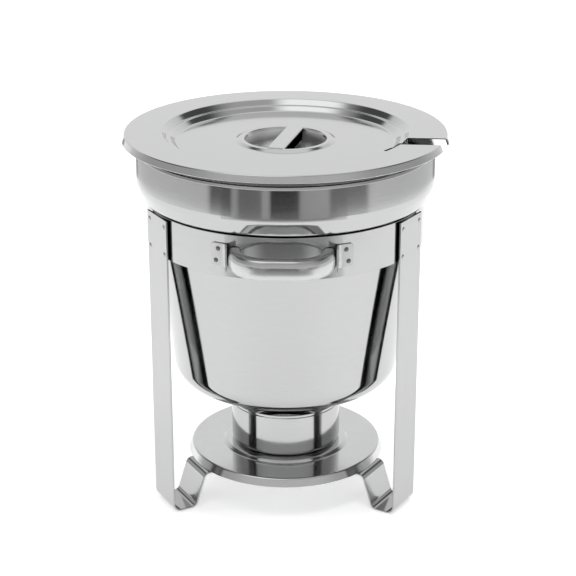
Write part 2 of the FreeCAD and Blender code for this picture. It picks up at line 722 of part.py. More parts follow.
def make_lug(label, angle, side):
    """An ear on the band with a web along the side of the grip's end."""
    body = new_body(f"{label}_blank", angle)
    outline = new_sketch(body, f"{label}_outline", "XY_Plane")
    draw_lug(outline, side)
    foot = "grip_height + lug_lift - lug_tall / 2"
    outline.AttachmentOffset = FreeCAD.Placement(
        FreeCAD.Vector(0, 0, size(foot)), FreeCAD.Rotation())
    outline.setExpression("AttachmentOffset.Base.z", bound(foot))
    pad = body.newObject("PartDesign::Pad", f"{label}_pad")
    pad.Profile = outline
    pad.setExpression("Length", bound("lug_tall"))
    doc.recompute()
    corners = add_fillet(body, "corners", pad, ear_end_edges(pad.Shape), "lug_corner")
    inner = add_fillet(
        body, "inner_bend", corners, ear_bend_edge(corners.Shape, "0"), "lug_bend + lug_gauge")
    add_fillet(body, "outer_bend", inner, ear_bend_edge(inner.Shape, "lug_gauge"), "lug_bend")
    drills = [
        primitive("Part::Cylinder", f"{label}_drill_{number}", place,
                  Radius="rivet_shank", Height="band_radius + 20")
        for number, place in enumerate(lug_placements(angle, side))
    ]
    lug = doc.addObject("Part::Cut", label)
    lug.Base = body
    lug.Tool = grouped("Part::Compound", f"{label}_drills", drills)
    lug.Label = label
    return lug


parts = [
    make_lid(), make_strap(), make_inset(), make_water_pan(), make_band(), make_tray(), make_cup(),
]
for leg_label, leg_angle in LEG_ANGLES.items():
    parts.append(make_leg(leg_label, leg_angle))
    parts.append(make_rivets(
        f"{leg_label}_rivets", rivet_placements(leg_angle),
        "band_radius - band_gauge - 1.1", "band_radius + leg_gauge + 0.2"))
for end_name, end_angle in HANDLE_ANGLES.items():
    parts.append(make_grip(f"{end_name}_grip", end_angle))
    parts.append(make_lug(f"{end_name}_left_lug", end_angle, -1))
    parts.append(make_lug(f"{end_name}_right_lug", end_angle, 1))
    parts.append(make_rivets(
        f"{end_name}_handle_rivets", handle_placements(end_angle),
        "band_radius - band_gauge", "band_radius + lug_gauge"))
doc.recompute()

for item in doc.Objects:
    if "Invalid" in item.State or "Error" in item.State:
        raise ValueError(f"{item.Label} failed: {item.State}")
for item in parts:
    if item.Shape.isNull() or not item.Shape.isValid():
        raise ValueError(f"{item.Label} has no valid shape")

os.makedirs("parts", exist_ok=True)
for item in parts:
    item.Shape.exportStep(f"parts/{item.Label}.step")
    box = item.Shape.BoundBox
    print(f"{item.Label:22s} solids {len(item.Shape.Solids)} volume {item.Shape.Volume:10.1f} "
          f"z {box.ZMin:7.2f} to {box.ZMax:7.2f}")
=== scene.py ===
"""Looks for the soup kettle: smooth polished shells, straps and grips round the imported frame."""
import math

import bpy
from mathutils import Matrix, Vector


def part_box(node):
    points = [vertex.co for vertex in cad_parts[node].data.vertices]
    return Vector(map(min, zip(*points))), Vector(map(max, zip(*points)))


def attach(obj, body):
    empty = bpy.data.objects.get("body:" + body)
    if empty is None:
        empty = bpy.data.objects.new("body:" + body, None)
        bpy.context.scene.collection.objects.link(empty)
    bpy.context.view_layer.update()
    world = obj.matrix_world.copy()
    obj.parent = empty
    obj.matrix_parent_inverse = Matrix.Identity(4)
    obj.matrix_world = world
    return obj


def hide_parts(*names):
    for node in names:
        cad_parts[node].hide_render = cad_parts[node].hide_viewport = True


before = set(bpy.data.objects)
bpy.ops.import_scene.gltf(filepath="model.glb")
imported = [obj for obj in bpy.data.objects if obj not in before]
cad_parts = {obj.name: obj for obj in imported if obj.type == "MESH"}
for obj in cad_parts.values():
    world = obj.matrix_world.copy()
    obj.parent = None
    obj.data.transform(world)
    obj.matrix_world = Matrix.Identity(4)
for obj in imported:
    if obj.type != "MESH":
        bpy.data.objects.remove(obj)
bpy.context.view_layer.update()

MM = 0.001
GAUGE = 1.0
ARC_STEP = math.radians(7.5)


def span(node):
    """A CAD node's lowest and highest corners in millimetres."""
    low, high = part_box(node)
    return low / MM, high / MM


# ---------------------------------------------------------------- outlines

def rounded(path, arc_step=ARC_STEP):
    """Points with unit normals along a path of (across, up, corner radius), normals to its left.

    Each straight run keeps its own end points, so flats stay flat and only corners turn.
    """
    points = [Vector(item[:2]) for item in path]
    curve = []

    def add(point, direction):
        curve.append((point.copy(), Vector((-direction.y, direction.x))))

    first = (points[1] - points[0]).normalized()
    add(points[0], first)
    for index in range(1, len(points) - 1):
        before = (points[index] - points[index - 1]).normalized()
        after = (points[index + 1] - points[index]).normalized()
        turn = math.atan2(before.cross(after), before.dot(after))
        reach = path[index][2] * math.tan(abs(turn) / 2)
        start = points[index] - before * reach
        side = Vector((-before.y, before.x)) * math.copysign(1, turn)
        centre = start + side * path[index][2]
        steps = max(2, math.ceil(abs(turn) / arc_step))
        for step in range(steps + 1):
            spin = Matrix.Rotation(turn * step / steps, 2)
            add(centre + spin @ (start - centre), spin @ before)
    add(points[-1], (points[-1] - points[-2]).normalized())
    return curve


def densified(curve, longest):
    """The curve with long runs divided, so that shading and bakes have points to work with."""
    dense = [curve[0]]
    for point, normal in curve[1:]:
        last_point, last_normal = dense[-1]
        pieces = math.ceil((point - last_point).length / longest)
        for piece in range(1, pieces + 1):
            share = piece / pieces
            dense.append((last_point.lerp(point, share), last_normal.lerp(normal, share).normalized()))
    return dense


def sheet_outline(path, gauge=GAUGE, longest=9.0):
    """Both faces of a sheet and its rounded rim, starting and ending on the axis.

    The path runs on the sheet's left face from the axis to the rim; the metal is on its right.
    """
    face = densified(rounded(path), longest)
    outline = list(face)
    point, normal = face[-1]
    middle = point - normal * gauge / 2
    for step in range(1, 6):
        spin = Matrix.Rotation(-math.pi * step / 6, 2)
        outline.append((middle + spin @ (normal * gauge / 2), spin @ normal))
    outline += [(point - normal * gauge, -normal) for point, normal in reversed(face)]
    return outline


# ---------------------------------------------------------------- meshes

def build(name, verts, faces, normals, body, material, nodes):
    """A smooth piece with exact normals, riding a body in place of CAD nodes."""
    mesh = bpy.data.meshes.new(name)
    mesh.from_pydata([Vector(vert) * MM for vert in verts], [], faces)
    mesh.validate()
    mesh.polygons.foreach_set("use_smooth", [True] * len(mesh.polygons))
    mesh.normals_split_custom_set_from_vertices([Vector(normal).normalized() for normal in normals])
    mesh.materials.append(material)
    piece = bpy.data.objects.new(name, mesh)
    bpy.context.collection.objects.link(piece)
    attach(piece, body)
    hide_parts(*nodes)
    return piece


class Notch:
    """A slot through a spun sheet: straight edges, and an inner end with rounded corners."""

    def __init__(self, start, far, near, slant, corner, mouth):
        self.start, self.far, self.near = start, far, near
        self.slant = slant / (mouth - start)
        self.corner = corner
        self.middle = math.atan2(-(far + near) / 2, start)

    def inside(self, radius, angle):
        """Below 0 in the notch: distance to a box with rounded inner corners."""
        x, y = radius * math.cos(angle), radius * math.sin(angle)
        drift = self.slant * max(0.0, x - self.start)
        half = (self.near - self.far) / 2
        across = abs(y + (self.far + self.near) / 2 + drift) - half + self.corner
        along = self.start - x + self.corner
        outer = math.hypot(max(across, 0.0), max(along, 0.0))
        return outer + min(max(across, along), 0.0) - self.corner

    def edges(self, radius):
        """The angles at which a ring enters and leaves the notch, or one angle twice if it misses."""
        window = [self.middle + math.radians(step / 4) for step in range(-60, 61)]
        deepest = min(window, key=lambda angle: self.inside(radius, angle))
        if self.inside(radius, deepest) >= 0:
            return self.middle, self.middle
        found = []
        for away in (1, -1):
            low, high = deepest, deepest + away * math.radians(20)
            for _ in range(40):
                half = (low + high) / 2
                if self.inside(radius, half) < 0:
                    low = half
                else:
                    high = half
            found.append(high)
        return tuple(found)


def spun(name, outline, body, material, nodes, notch=None, segments=160):
    """A sheet spun about Z, with an optional notch that leaves its cut edges closed."""
    verts, normals, faces = [], [], []
    rings = []
    for point, normal in outline:
        start, stop = notch.edges(point.x) if notch else (0.0, 0.0)
        sweep = 2 * math.pi - (start - stop)
        closed = start == stop
        ring = []
        for step in range(segments + (0 if closed else 1)):
            angle = start + sweep * step / segments
            turn = Vector((math.cos(angle), math.sin(angle)))
            ring.append(len(verts))
            verts.append((point.x * turn.x, point.x * turn.y, point.y))
            normals.append((normal.x * turn.x, normal.x * turn.y, normal.y))
            if point.x == 0:
                break
        if closed and len(ring) > 1:
            ring.append(ring[0])
        rings.append(ring)
    for inner, outer in zip(rings, rings[1:]):
        for step in range(segments):
            corners = [
                inner[min(step, len(inner) - 1)], inner[min(step + 1, len(inner) - 1)],
                outer[min(step + 1, len(outer) - 1)], outer[min(step, len(outer) - 1)]]
            kept = list(dict.fromkeys(corners))
            if len(kept) > 2:
                faces.append(kept[::-1])
    if notch:
        close_cut(rings, verts, normals, faces)
    return build(name, verts, faces, normals, body, material, nodes)


def close_cut(rings, verts, normals, faces):
    """Walls between the two faces of the sheet along both sides of the notch."""
    count = len(rings)
    for end, order in ((0, 1), (-1, -1)):
        cut = [verts[ring[end]] if ring[0] != ring[-1] else None for ring in rings]
        first = next(index for index in range(count) if cut[index])
        for index in range(first, count // 2):
            quad = [cut[index], cut[index + 1], cut[count - 2 - index], cut[count - 1 - index]]
            if any(corner is None for corner in quad):
                continue
            corners = [Vector(corner) for corner in quad][::order]
            flat = (corners[1] - corners[0]).cross(corners[2] - corners[0])
            if flat.length < 1e-9:
                continue
            base = len(verts)
            verts.extend(corners)
            normals.extend([flat] * 4)
            faces.append([base, base + 1, base + 2, base + 3])


def swept(name, stations, section, body, material, nodes):
    """A section carried along stations of (origin, across, up, scale for the section's width).

    The section is a closed loop of (point, normal), drawn across and up; both ends are capped.
    """
    verts, normals, faces = [], [], []
    count = len(section)
    for origin, across, up, scale in stations:
        for point, normal in section:
            verts.append(origin + across * point.x * scale + up * point.y)
            normals.append(across * normal.x + up * normal.y)
    for station in range(len(stations) - 1):
        for step in range(count):
            after = (step + 1) % count
            faces.append([
                station * count + step, station * count + after,
                (station + 1) * count + after, (station + 1) * count + step])
    for station, order in ((0, -1), (len(stations) - 1, 1)):
        _, across, up, _ = stations[station]
        base = len(verts)
        verts.extend(verts[station * count:(station + 1) * count])
        normals.extend([across.cross(up) * order] * count)
        faces.append([base + step for step in range(count)][::order])
    return build(name, verts, faces, normals, body, material, nodes)


def round_rect(width, height, radius, steps=4):
    """A rounded rectangle about the origin as (point, normal), anticlockwise."""
    loop = []
    for quarter, (sx, sy) in enumerate(((1, 1), (-1, 1), (-1, -1), (1, -1))):
        centre = Vector((sx * (width / 2 - radius), sy * (height / 2 - radius)))
        for step in range(steps + 1):
            angle = math.pi / 2 * (quarter + step / steps)
            normal = Vector((math.cos(angle), math.sin(angle)))
            loop.append((centre + normal * radius, normal))
    return loop


def heading(angle):
    """Unit vectors outwards and sideways for an angle in degrees about +Z."""
    turn = math.radians(angle)
    return Vector((math.cos(turn), math.sin(turn), 0)), Vector((-math.sin(turn), math.cos(turn), 0))


UP = Vector((0, 0, 1))


# ---------------------------------------------------------------- materials

def nodes_of(name):
    """A new material with its nodes, links and main shader."""
    material = bpy.data.materials.new(name)
    material.use_nodes = True
    tree = material.node_tree
    return material, tree.nodes, tree.links, tree.nodes["Principled BSDF"]


def ranged(tree, source, low, high, at_low, at_high):
    """A value that eases from at_low to at_high while the source goes from low to high."""
    node = tree.nodes.new("ShaderNodeMapRange")
    node.interpolation_type = "SMOOTHSTEP"
    for name, value in (("From Min", low), ("From Max", high), ("To Min", at_low),
                        ("To Max", at_high)):
        node.inputs[name].default_value = value
    tree.links.new(source, node.inputs["Value"])
    return node.outputs["Result"]


def computed(tree, operation, *values):
    """A maths node over sockets or numbers."""
    node = tree.nodes.new("ShaderNodeMath")
    node.operation = operation
    for socket, value in zip(node.inputs, values):
        if isinstance(value, float):
            socket.default_value = value
        else:
            tree.links.new(value, socket)
    return node.outputs["Value"]


def between(tree, source, low, high, soft):
    """1 between low and high, easing to 0 on both sides."""
    rise = ranged(tree, source, low - soft, low, 0.0, 1.0)
    fall = ranged(tree, source, high, high + soft, 1.0, 0.0)
    return computed(tree, "MULTIPLY", rise, fall)


def axes(tree):
    """Sockets for X, Y, Z and the distance from the kettle's axis, in metres."""
    place = tree.nodes.new("ShaderNodeTexCoord")
    parts = tree.nodes.new("ShaderNodeSeparateXYZ")
    tree.links.new(place.outputs["Object"], parts.inputs["Vector"])
    flat = tree.nodes.new("ShaderNodeVectorMath")
    flat.operation = "MULTIPLY"
    flat.inputs[1].default_value = (1, 1, 0)
    tree.links.new(place.outputs["Object"], flat.inputs[0])
    length = tree.nodes.new("ShaderNodeVectorMath")
    length.operation = "LENGTH"
    tree.links.new(flat.outputs["Vector"], length.inputs[0])
    return parts.outputs["X"], parts.outputs["Y"], parts.outputs["Z"], length.outputs["Value"]


def crevice_painted_shade(tree):
    """Painted shade in the groove between the pan's shoulder and the band."""
    _, _, height, _ = axes(tree)
    return computed(tree, "MULTIPLY", between(tree, height, 0.3050, 0.3084, 0.0003), 0.96)


def flange_painted_shade(tree):
    """Painted shade on the underside of the lid's flange."""
    _, _, height, radius = axes(tree)
    under = between(tree, height, 0.3600, 0.36945, 0.0001)
    ring = between(tree, radius, 0.1205, 0.1530, 0.0004)
    return computed(tree, "MULTIPLY", computed(tree, "MULTIPLY", under, ring), 0.70)


def skirt_painted_shade(tree):
    """Painted shade on the skirts of the lid's strap handle, darkest below its rounded corners."""
    _, _, height, _ = axes(tree)
    corner = strap_top * MM
    return ranged(tree, height, corner - 0.0024, corner - 0.0010, 0.94, 0.0)


def facing_axis(tree):
    """1 on the faces of the stand that look towards the kettle's axis."""
    geometry = tree.nodes.new("ShaderNodeNewGeometry")
    outwards = tree.nodes.new("ShaderNodeVectorMath")
    outwards.operation = "DOT_PRODUCT"
    tree.links.new(geometry.outputs["Position"], outwards.inputs[0])
    tree.links.new(geometry.outputs["Normal"], outwards.inputs[1])
    return ranged(tree, outwards.outputs["Value"], -0.10, -0.05, 1.0, 0.0)


def strap_back_painted_shade(tree):
    """Painted shade on the inward backs of the leg straps, darkest along their edges, so their
    reflections in the pan are dark.
    """
    _, _, height, radius = axes(tree)
    back = facing_axis(tree)
    above = ranged(tree, height, 0.05, 0.07, 0.0, 1.0)
    edge = ranged(tree, radius, 0.1362, 0.1368, 0.05, 0.93)
    return computed(tree, "MULTIPLY", computed(tree, "MULTIPLY", back, above), edge)


def dish_satin_and_painted_light(tree):
    """The softer polish inside the finger dish, which is also painted lighter: painted light in the
    dish.
    """
    _, _, height, radius = axes(tree)
    inside = ranged(tree, radius, 0.0390, 0.0405, 1.0, 0.0)
    below = ranged(tree, height, 0.3585, 0.3600, 1.0, 0.0)
    return computed(tree, "MULTIPLY", inside, below)


def tinted(tree, share, colour, tone):
    """A colour, white by default, that turns to a plain grey as the share goes to 1."""
    node = tree.nodes.new("ShaderNodeMix")
    node.data_type = "RGBA"
    node.inputs[6].default_value = (1, 1, 1, 1)
    node.inputs[7].default_value = (tone, tone, tone, 1)
    tree.links.new(share, node.inputs[0])
    if colour:
        tree.links.new(colour, node.inputs[6])
    return node.outputs[2]


# Satin adds roughness and a lighter tone; the lighter tone is painted light.
SATIN_ROUGHNESS, SATIN_PAINTED_LIGHT_TONE = 0.30, 0.86
SHADE_TONE = 0.004
SMUDGE_SCALE = 9.0


def steel(name, tone, roughness, grain_scale, grain_depth, haze=0.05, shade=None, satin_and_painted_light=None):
    """Polished stainless: fine grain along one way, drifting polish, and soft wiping smudges.

    Shade builds the share of painted shade, darkened in colour and in glancing reflection; satin
    builds the share of softer polish, which is also painted lighter as painted light.
    """
    material, nodes, links, shader = nodes_of(name)
    tree = material.node_tree
    shader.inputs["Metallic"].default_value = 1.0
    place = nodes.new("ShaderNodeTexCoord")

    stretch = nodes.new("ShaderNodeMapping")
    stretch.inputs["Scale"].default_value = grain_scale
    links.new(place.outputs["Object"], stretch.inputs["Vector"])
    grain = nodes.new("ShaderNodeTexNoise")
    grain.inputs["Scale"].default_value = 1.0
    grain.inputs["Detail"].default_value = 4.0
    grain.inputs["Roughness"].default_value = 0.6
    links.new(stretch.outputs["Vector"], grain.inputs["Vector"])

    smudge = nodes.new("ShaderNodeTexNoise")
    smudge.inputs["Scale"].default_value = SMUDGE_SCALE
    smudge.inputs["Detail"].default_value = 3.0
    smudge.inputs["Distortion"].default_value = 0.6
    links.new(place.outputs["Object"], smudge.inputs["Vector"])

    polish = nodes.new("ShaderNodeMapRange")
    polish.inputs["From Min"].default_value = 0.3
    polish.inputs["From Max"].default_value = 0.75
    polish.inputs["To Min"].default_value = roughness
    polish.inputs["To Max"].default_value = roughness + haze
    links.new(smudge.outputs["Fac"], polish.inputs["Value"])
    fine = nodes.new("ShaderNodeMath")
    fine.operation = "MULTIPLY_ADD"
    fine.inputs[1].default_value = haze * 0.5
    links.new(grain.outputs["Fac"], fine.inputs[0])
    links.new(polish.outputs["Result"], fine.inputs[2])
    finish = fine.outputs["Value"]
    if satin_and_painted_light:
        satin_and_light_share = satin_and_painted_light(tree)
        dulling = computed(tree, "MULTIPLY", satin_and_light_share, SATIN_ROUGHNESS)
        finish = computed(tree, "ADD", finish, dulling)
    links.new(finish, shader.inputs["Roughness"])

    colour = nodes.new("ShaderNodeValToRGB")
    colour.color_ramp.elements[0].position = 0.25
    colour.color_ramp.elements[0].color = (*[tone * part for part in (0.95, 0.955, 0.965)], 1)
    colour.color_ramp.elements[1].position = 0.75
    colour.color_ramp.elements[1].color = (tone, tone, tone, 1)
    links.new(grain.outputs["Fac"], colour.inputs["Fac"])
    paint_socket = colour.outputs["Color"]
    if satin_and_painted_light:
        # Painted light: the satin share is painted a lighter tone.
        paint_socket = tinted(tree, satin_and_light_share, paint_socket, SATIN_PAINTED_LIGHT_TONE)
    if shade:
        # Painted shade: the shade share is painted near black, and its glancing reflection too.
        shade_share = shade(tree)
        paint_socket = tinted(tree, shade_share, paint_socket, SHADE_TONE)
        glancing = tinted(tree, shade_share, None, 0.0)
        links.new(glancing, shader.inputs["Specular Tint"])
    links.new(paint_socket, shader.inputs["Base Color"])

    bump = nodes.new("ShaderNodeBump")
    bump.inputs["Strength"].default_value = 1.0
    bump.inputs["Distance"].default_value = grain_depth
    links.new(grain.outputs["Fac"], bump.inputs["Height"])
    links.new(bump.outputs["Normal"], shader.inputs["Normal"])
    return material


LID_TONE, STEEL_TONE = 0.62, 0.51
strap_top = span("lid_strap_handle")[1].z
# Noise cycles per metre along X, Y and Z: low along the way the sheet was polished.
lid_steel = steel("lid_steel", LID_TONE, 0.07, (60, 420, 200), 2e-6, shade=flange_painted_shade,
                  satin_and_painted_light=dish_satin_and_painted_light)
strap_steel = steel("strap_steel", LID_TONE, 0.08, (60, 420, 200), 2e-6, shade=skirt_painted_shade)
pan_steel = steel("pan_steel", STEEL_TONE, 0.06, (60, 60, 700), 2e-6, shade=crevice_painted_shade)
inset_steel = steel("inset_steel", STEEL_TONE * 0.95, 0.16, (60, 60, 900), 4e-6, haze=0.1)
stand_steel = steel("stand_steel", 0.475, 0.10, (500, 500, 25), 3e-6,
                    shade=strap_back_painted_shade)
band_steel = steel("band_steel", STEEL_TONE, 0.09, (25, 25, 700), 3e-6)
# The grip's back, which faces the axis, is rougher and painted lighter: painted light that brightens
# its reflection in the band.
grip_steel = steel("grip_steel", 0.58, 0.20, (40, 40, 500), 2e-6, satin_and_painted_light=facing_axis)
ear_steel = steel("ear_steel", 0.60, 0.24, (40, 40, 500), 3e-6, haze=0.08)
handle_rivet_steel = steel("handle_rivet_steel", 0.17, 0.25, (900, 900, 900), 6e-6, haze=0.12)
leg_rivet_steel = steel("leg_rivet_steel", 0.44, 0.16, (900, 900, 900), 4e-6, haze=0.12)
cup_steel = steel("cup_steel", 0.52, 0.07, (80, 80, 500), 3e-6, haze=0.08)
tray_steel = steel("tray_steel", 0.66, 0.09, (80, 80, 500), 3e-6, haze=0.08)


# ---------------------------------------------------------------- lid

lid_low, lid_high = span("lid_shell")
LID_TOP = lid_high.z
PANEL = LID_TOP - 10.0
LID_EDGE = lid_high.y
LIP_FLARE, LIP_DROP = 2.5, 6.2
DISH_FLOOR = lid_low.z + GAUGE
DISH_RADIUS, BEAD_CREST, BEAD_RISE = 40.0, 44.5, 2.0
lid_path = [
    (0, DISH_FLOOR, 0),
    (33.5, DISH_FLOOR, 8.0),
    (DISH_RADIUS, PANEL + BEAD_RISE, 1.3),
    (BEAD_CREST, PANEL + BEAD_RISE, 3.0),
    (BEAD_CREST + 4.2, PANEL, 4.0),
    (105.8, PANEL, 4.0),
    (111.0, LID_TOP - 5.3, 1.6),
    (114.3, LID_TOP - 5.3, 1.6),
    (119.3, LID_TOP, 2.2),
    (LID_EDGE - LIP_FLARE, LID_TOP, 1.6),
    (LID_EDGE - 0.15, LID_TOP - LIP_DROP, 0),
]
notch = Notch(start=96.5, far=27.0, near=50.5, slant=3.0, corner=4.0, mouth=165.0)
spun("lid_stamping", sheet_outline(lid_path, longest=4.0), "lid_body", lid_steel,
     ["lid_shell"], notch=notch, segments=256)

# Strap handle: a channel across the dish whose skirts follow the dish's wall.
STRAP_WIDTH, STRAP_TURN, STRAP_SKIRT = 17.0, 77.7, 11.0
STRAP_CORNER = 1.8
strap_reach = DISH_RADIUS + 1.6


def channel_side(offset, drop):
    """One face of the channel from its right foot over the top to its left foot."""
    half, radius = STRAP_WIDTH / 2 - offset, STRAP_CORNER - offset * 0.9
    face = [(Vector((half, -drop)), Vector((1, 0)))]
    for hand, first in ((1, 0.0), (-1, math.pi / 2)):
        centre = Vector((hand * (half - radius), -offset - radius))
        for step in range(5):
            angle = first + math.pi / 2 * step / 4
            normal = Vector((math.cos(angle), math.sin(angle)))
            face.append((centre + normal * radius, normal))
    face.append((Vector((-half, -drop)), Vector((-1, 0))))
    return face


def make_strap():
    """The lid's strap handle, with its feet bent a little down onto the bead."""
    out, side = heading(STRAP_TURN)
    stations = 96
    loops, verts, normals, faces = [], [], [], []
    for station in range(stations + 1):
        along = strap_reach * (2 * station / stations - 1)
        room = (DISH_RADIUS - 2.4 - abs(along)) * 2.3
        drop = max(2.4, min(STRAP_SKIRT, room))
        sag = 0.9 * max(0.0, (abs(along) - strap_reach + 4.0) / 4.0) ** 2
        face = channel_side(0.0, drop)
        face += [(point, -normal) for point, normal in reversed(channel_side(GAUGE, drop))]
        loop = []
        for point, normal in face:
            loop.append(len(verts))
            verts.append(out * along + side * point.x + UP * (strap_top - sag + point.y))
            normals.append(side * normal.x + UP * normal.y)
        loops.append(loop)
    count = len(loops[0])
    for before, after in zip(loops, loops[1:]):
        for step in range(count):
            beside = (step + 1) % count
            faces.append([before[step], before[beside], after[beside], after[step]])
    for loop, outward in ((loops[0], -out), (loops[-1], out)):
        for step in range(count // 2 - 1):
            base = len(verts)
            verts += [verts[loop[corner]] for corner in
                      (step, step + 1, count - 2 - step, count - 1 - step)]
            normals += [outward] * 4
            faces.append([base, base + 1, base + 2, base + 3])
    build("lid_strap", verts, faces, normals, "lid_body", strap_steel,
          ["lid_strap_handle"])


make_strap()

# ---------------------------------------------------------------- pans

inset_low, inset_high = span("inset_pan")
inset_path = [
    (0, inset_low.z + GAUGE, 0),
    (100.0, inset_low.z + GAUGE, 14.0),
    (108.0, inset_high.z, 6.0),
    (inset_high.x, inset_high.z, 1.4),
    (inset_high.x, 361.3, 0),
]
spun("inset_shell", sheet_outline(inset_path), "inset_body", inset_steel,
     ["inset_pan"])

pan_low, pan_high = span("water_pan")
pan_path = [
    (0, pan_low.z + GAUGE, 0),
    (109.0, pan_low.z + GAUGE, 25.0),
    (131.4, 307.2, 1.8),
    (134.2, 307.2, 0.35),
    (134.2, 309.2, 1.35),
    (138.6, 309.2, 2.8),
    (pan_high.x - GAUGE, 323.0, 18.0),
    (pan_high.x - GAUGE, pan_high.z - GAUGE, 7.0),
    (111.5, pan_high.z - GAUGE, 0),
]
spun("water_pan_shell", sheet_outline(pan_path), "water_pan_body", pan_steel,
     ["water_pan"], segments=192)

# ---------------------------------------------------------------- stand

band_low, band_high = span("stand_band")
BAND_RADIUS, BAND_GAUGE = band_high.x, 1.6
band_loop = []
band_middle = Vector((BAND_RADIUS - BAND_GAUGE / 2, (band_low.z + band_high.z) / 2))
for point, normal in round_rect(BAND_GAUGE, band_high.z - band_low.z, 0.6):
    band_loop.append((band_middle + point, normal))
band_loop.append(band_loop[0])
spun("band_ring", band_loop[::-1], "stand", band_steel, ["stand_band"],
     segments=192)


def strip(name, path, width, gauge, out, side, body, material, nodes):
    """A flat strip along an upright path, with softened edges."""
    stations = []
    for point, normal in densified(rounded(path), 8.0):
        across = out * normal.x + UP * normal.y
        stations.append((out * point.x + UP * point.y, side, across, 1.0))
    section = round_rect(width, gauge, min(gauge * 0.42, 0.8))
    return swept(name, stations, section, body, material, nodes)


LEG_GAUGE, LEG_WIDTH = 2.0, 42.0
leg_middle = BAND_RADIUS + LEG_GAUGE / 2 + 0.2
leg_top = span("rear_leg")[1].z
TAB_HEIGHT = 34.2
leg_path = [
    (leg_middle, leg_top, 0),
    (leg_middle, LEG_GAUGE / 2, 8.0),
    (leg_middle - 24.2, LEG_GAUGE / 2, 7.0),
    (102.0, TAB_HEIGHT, 6.0),
    (72.0, TAB_HEIGHT, 0),
]
LEG_ANGLES = {"left": 210, "right": 330, "rear": 90}
LEG_RIVET_ACROSS, LEG_RIVET_HEIGHTS = 16.0, (270.5, 297.5)


def dome(radius, rise, steps=6):
    """Half outline of a domed rivet head with a soft foot."""
    loop = []
    for step in range(steps + 1):
        angle = math.pi / 2 * (1 - step / steps)
        loop.append((Vector((radius * math.cos(angle), rise * math.sin(angle))),
                     Vector((math.cos(angle) / radius, math.sin(angle) / rise)).normalized()))
    return loop


def rivets(name, places, body, nodes, material, rise, radius=2.3, segments=24):
    """Domed heads at (point, outward direction) places, joined as one piece."""
    verts, normals, faces = [], [], []
    for place, out in places:
        side = out.cross(UP).normalized()
        top = side.cross(out)
        rings = []
        for point, normal in dome(radius, rise):
            ring = []
            for step in range(segments):
                angle = 2 * math.pi * step / segments
                turn = side * math.cos(angle) + top * math.sin(angle)
                ring.append(len(verts))
                verts.append(place + turn * point.x + out * point.y)
                normals.append(turn * normal.x + out * normal.y)
                if point.x < 1e-6:
                    break
            rings.append(ring)
        for inner, outer in zip(rings, rings[1:]):
            for step in range(segments):
                after = (step + 1) % segments
                if len(inner) == 1:
                    faces.append([inner[0], outer[after], outer[step]])
                else:
                    faces.append([inner[step], inner[after], outer[after], outer[step]])
        base = len(verts)
        for index in rings[-1]:
            verts.append(verts[index])
            normals.append(-out)
        faces.append([base + step for step in range(segments)])
    return build(name, verts, faces, normals, body, material, nodes)


for leg, angle in LEG_ANGLES.items():
    out, side = heading(angle)
    strip(f"{leg}_leg_strap", leg_path, LEG_WIDTH, LEG_GAUGE, out, side, "stand",
          stand_steel, [f"{leg}_leg"])
    heads = []
    for across in (-LEG_RIVET_ACROSS, LEG_RIVET_ACROSS):
        for height in LEG_RIVET_HEIGHTS:
            face = out * (leg_middle + LEG_GAUGE / 2) + side * across + UP * height
            heads.append((face, out))
            heads.append((out * (math.sqrt((BAND_RADIUS - BAND_GAUGE) ** 2 - across ** 2))
                          + side * across + UP * height, -out))
    rivets(f"{leg}_leg_rivet_heads", heads, "stand", [f"{leg}_leg_rivets"], leg_rivet_steel, 0.8)

# ---------------------------------------------------------------- handles

GRIP_REACH, GRIP_HALF, GRIP_BEND = 163.0, 12.0, 31.5
GRIP_DEEP, GRIP_TALL, GRIP_HEIGHT = 12.0, 20.0, 285.0
GRIP_ROOT = 131.0


def grip_section():
    """The grip's closed section, bulging outwards and flat towards the band: (outwards, up)."""
    deep, tall, back, power = GRIP_DEEP / 2, GRIP_TALL / 2, 3.0, 0.75
    front = []
    for step in range(-14, 15):
        angle = math.pi / 2 * step / 14
        front.append(Vector((
            deep * math.cos(angle) ** power,
            tall * math.copysign(abs(math.sin(angle)) ** power, angle))))
    loop = []
    for index, point in enumerate(front):
        along = front[min(index + 1, len(front) - 1)] - front[max(index - 1, 0)]
        loop.append((point, Vector((along.y, -along.x)).normalized()))
    for hand, first in ((1, math.pi / 2), (-1, math.pi)):
        centre = Vector((back - deep, hand * (tall - back)))
        for step in range(6):
            angle = first + math.pi / 2 * step / 5
            normal = Vector((math.cos(angle), math.sin(angle)))
            loop.append((centre + normal * back, normal))
    return loop


def make_grip(end, angle):
    """A bar handle: two arms and a front, with wide bends between them."""
    out, side = heading(angle)
    path = [
        (-(GRIP_HALF + GRIP_BEND), GRIP_ROOT, 0),
        (-(GRIP_HALF + GRIP_BEND), GRIP_REACH, GRIP_BEND - 0.01),
        (GRIP_HALF + GRIP_BEND, GRIP_REACH, GRIP_BEND - 0.01),
        (GRIP_HALF + GRIP_BEND, GRIP_ROOT, 0),
    ]
    stations = []
    for point, normal in densified(rounded(path, math.radians(4)), 4.0):
        outward = side * normal.x + out * normal.y
        origin = side * point.x + out * point.y + UP * GRIP_HEIGHT
        stations.append((origin, outward, UP, 1.0))
    swept(f"{end}_grip_bar", stations[::-1], grip_section(), "stand", grip_steel,
          [f"{end}_grip"])


LUG_GAUGE, LUG_TALL, LUG_REACH = 1.5, 22.5, 139.0
LUG_ANGLE, LUG_BEND, LUG_CORNER, LUG_LIFT = 28.4, 4.6, 4.0, 1.0
LUG_RIVET_ANGLE, LUG_RIVET_LEAN, LUG_RIVET_RISE = 25.6, 0.5, 5.7


